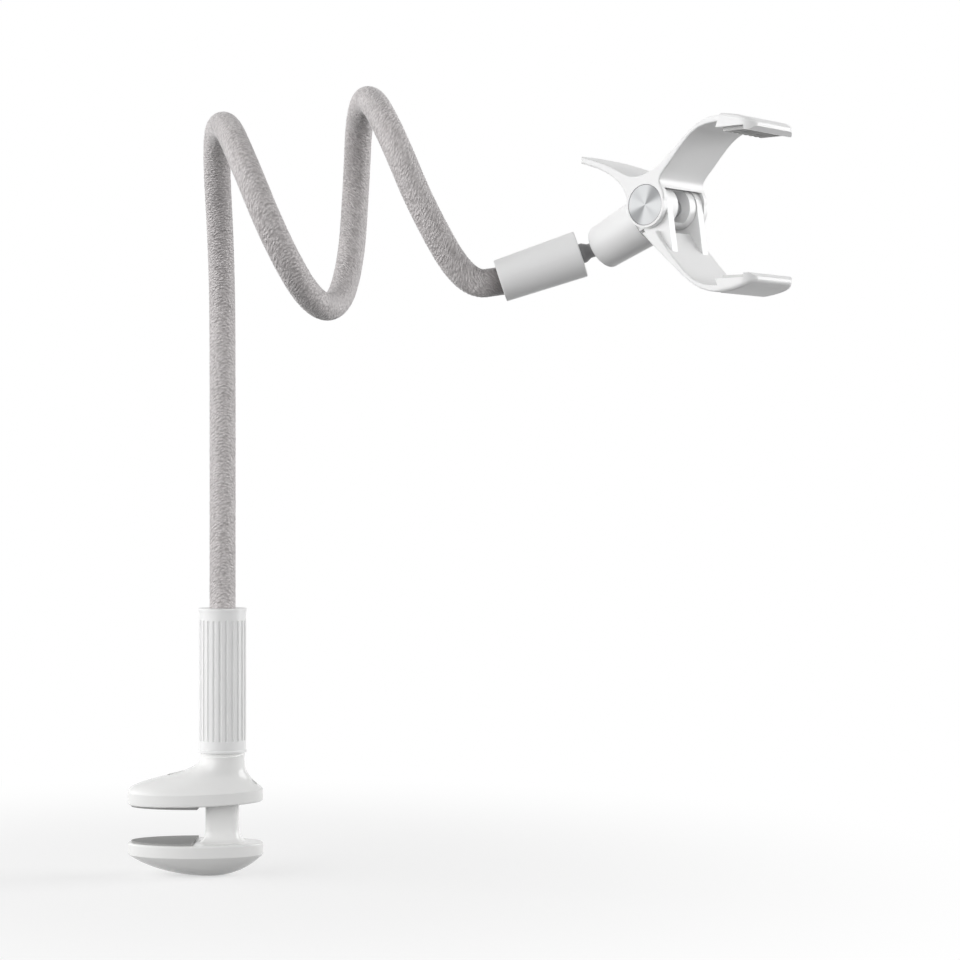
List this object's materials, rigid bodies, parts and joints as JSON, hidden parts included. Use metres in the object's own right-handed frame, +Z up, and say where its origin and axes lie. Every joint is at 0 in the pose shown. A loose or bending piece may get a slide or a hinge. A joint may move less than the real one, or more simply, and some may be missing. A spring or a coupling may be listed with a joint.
{
  "type": "gooseneck phone holder",
  "caption": "Table-clamp phone holder: screw clamp with fluted grip, coiled flexible gooseneck, ball joint and spring clip with ribbed jaws for a phone.",
  "frame": {"origin": "on the clamp's screw axis, in the plane of the table top that the upper pad rests on", "axes": "+Z up along the clamp's screw, X along the clip's pivot pin, -Y the way the clip faces"},
  "size_m": [0.1479, 0.4024, 0.4388],
  "materials": {
    "white_plastic": "soft gloss",
    "nylon": "matte",
    "pad_rubber": "matte",
    "clip_silicone": "matte",
    "neck_skin": "grained",
    "steel": "satin",
    "grey_metal": "satin",
    "brass": "turned",
    "spun_aluminium": "spun"
  },
  "bodies": {
    "base": {"upper_jaw": "white_plastic", "upper_jaw_pad": "pad_rubber"},
    "lower_jaw": {"lower_jaw": "white_plastic", "lower_jaw_cover": "white_plastic", "lower_jaw_pad": "pad_rubber", "jaw_nut": "brass"},
    "grip": {"grip": "white_plastic", "grip_collar": "nylon", "grip_cap": "white_plastic", "clamp_screw": "steel", "screw_clip": "steel"},
    "neck_foot": {"neck_ferrule": "steel"},
    "neck": {"neck_core": "steel", "neck_skin": "neck_skin", "neck_cup": "steel", "end_sleeve": "white_plastic", "sleeve_plug": "nylon"},
    "ball_stud": {"ball_stud": "grey_metal"},
    "ball_seat": {"ball_seat": "nylon"},
    "housing": {"socket_housing": "white_plastic", "socket_ring": "nylon", "lower_arm": "white_plastic", "lower_arm_pad": "clip_silicone", "pivot_pin": "steel", "lock_dowel": "steel", "clip_spring": "steel"},
    "upper_clip": {"upper_arm": "white_plastic", "upper_arm_pad": "clip_silicone", "left_disc": "spun_aluminium", "right_disc": "spun_aluminium"}
  },
  "joints": [
    {"name": "clamp_turn", "type": "hinge", "parent": "base", "child": "grip", "pos_m": [0, 0, 0.035], "axis": [0, 0, 1], "range_deg": [-1220, 2870]},
    {"name": "jaw_slide", "type": "slide", "parent": "base", "child": "lower_jaw", "axis": [0, 0, 1], "range_m": [-0.04, 0.017]},
    {"name": "neck_swivel", "type": "hinge", "parent": "base", "child": "neck_foot", "pos_m": [0, 0, 0.1], "axis": [0, 0, 1], "continuous": true},
    {"name": "neck_lean", "type": "hinge", "parent": "neck_foot", "child": "neck", "pos_m": [0, 0, 0.177], "axis": [1, 0, 0], "range_deg": [-12, 12], "deforming": ["neck_core", "neck_skin"]},
    {"name": "head_spin", "type": "hinge", "parent": "neck", "child": "ball_stud", "pos_m": [0.0298, -0.25371, 0.31013], "axis": [0.5708, -0.7578, 0.3162], "continuous": true},
    {"name": "ball_pan", "type": "hinge", "parent": "ball_stud", "child": "ball_seat", "pos_m": [0.0298, -0.25371, 0.31013], "axis": [0, 0.3987, 0.9171], "range_deg": [-4, 48]},
    {"name": "ball_tilt", "type": "hinge", "parent": "ball_seat", "child": "housing", "pos_m": [0.0298, -0.25371, 0.31013], "axis": [1, 0, 0], "range_deg": [-12, 12]},
    {"name": "clip_open", "type": "hinge", "parent": "housing", "child": "upper_clip", "pos_m": [0.0298, -0.2925, 0.327], "axis": [-1, 0, 0], "range_deg": [-14, 18], "stiffness_Nm_per_rad": 1.4, "springref_deg": -14}
  ],
  "couplings": [
    {"joint": "jaw_slide", "follows": "clamp_turn", "m_per_rad": -0.00079577}
  ]
}
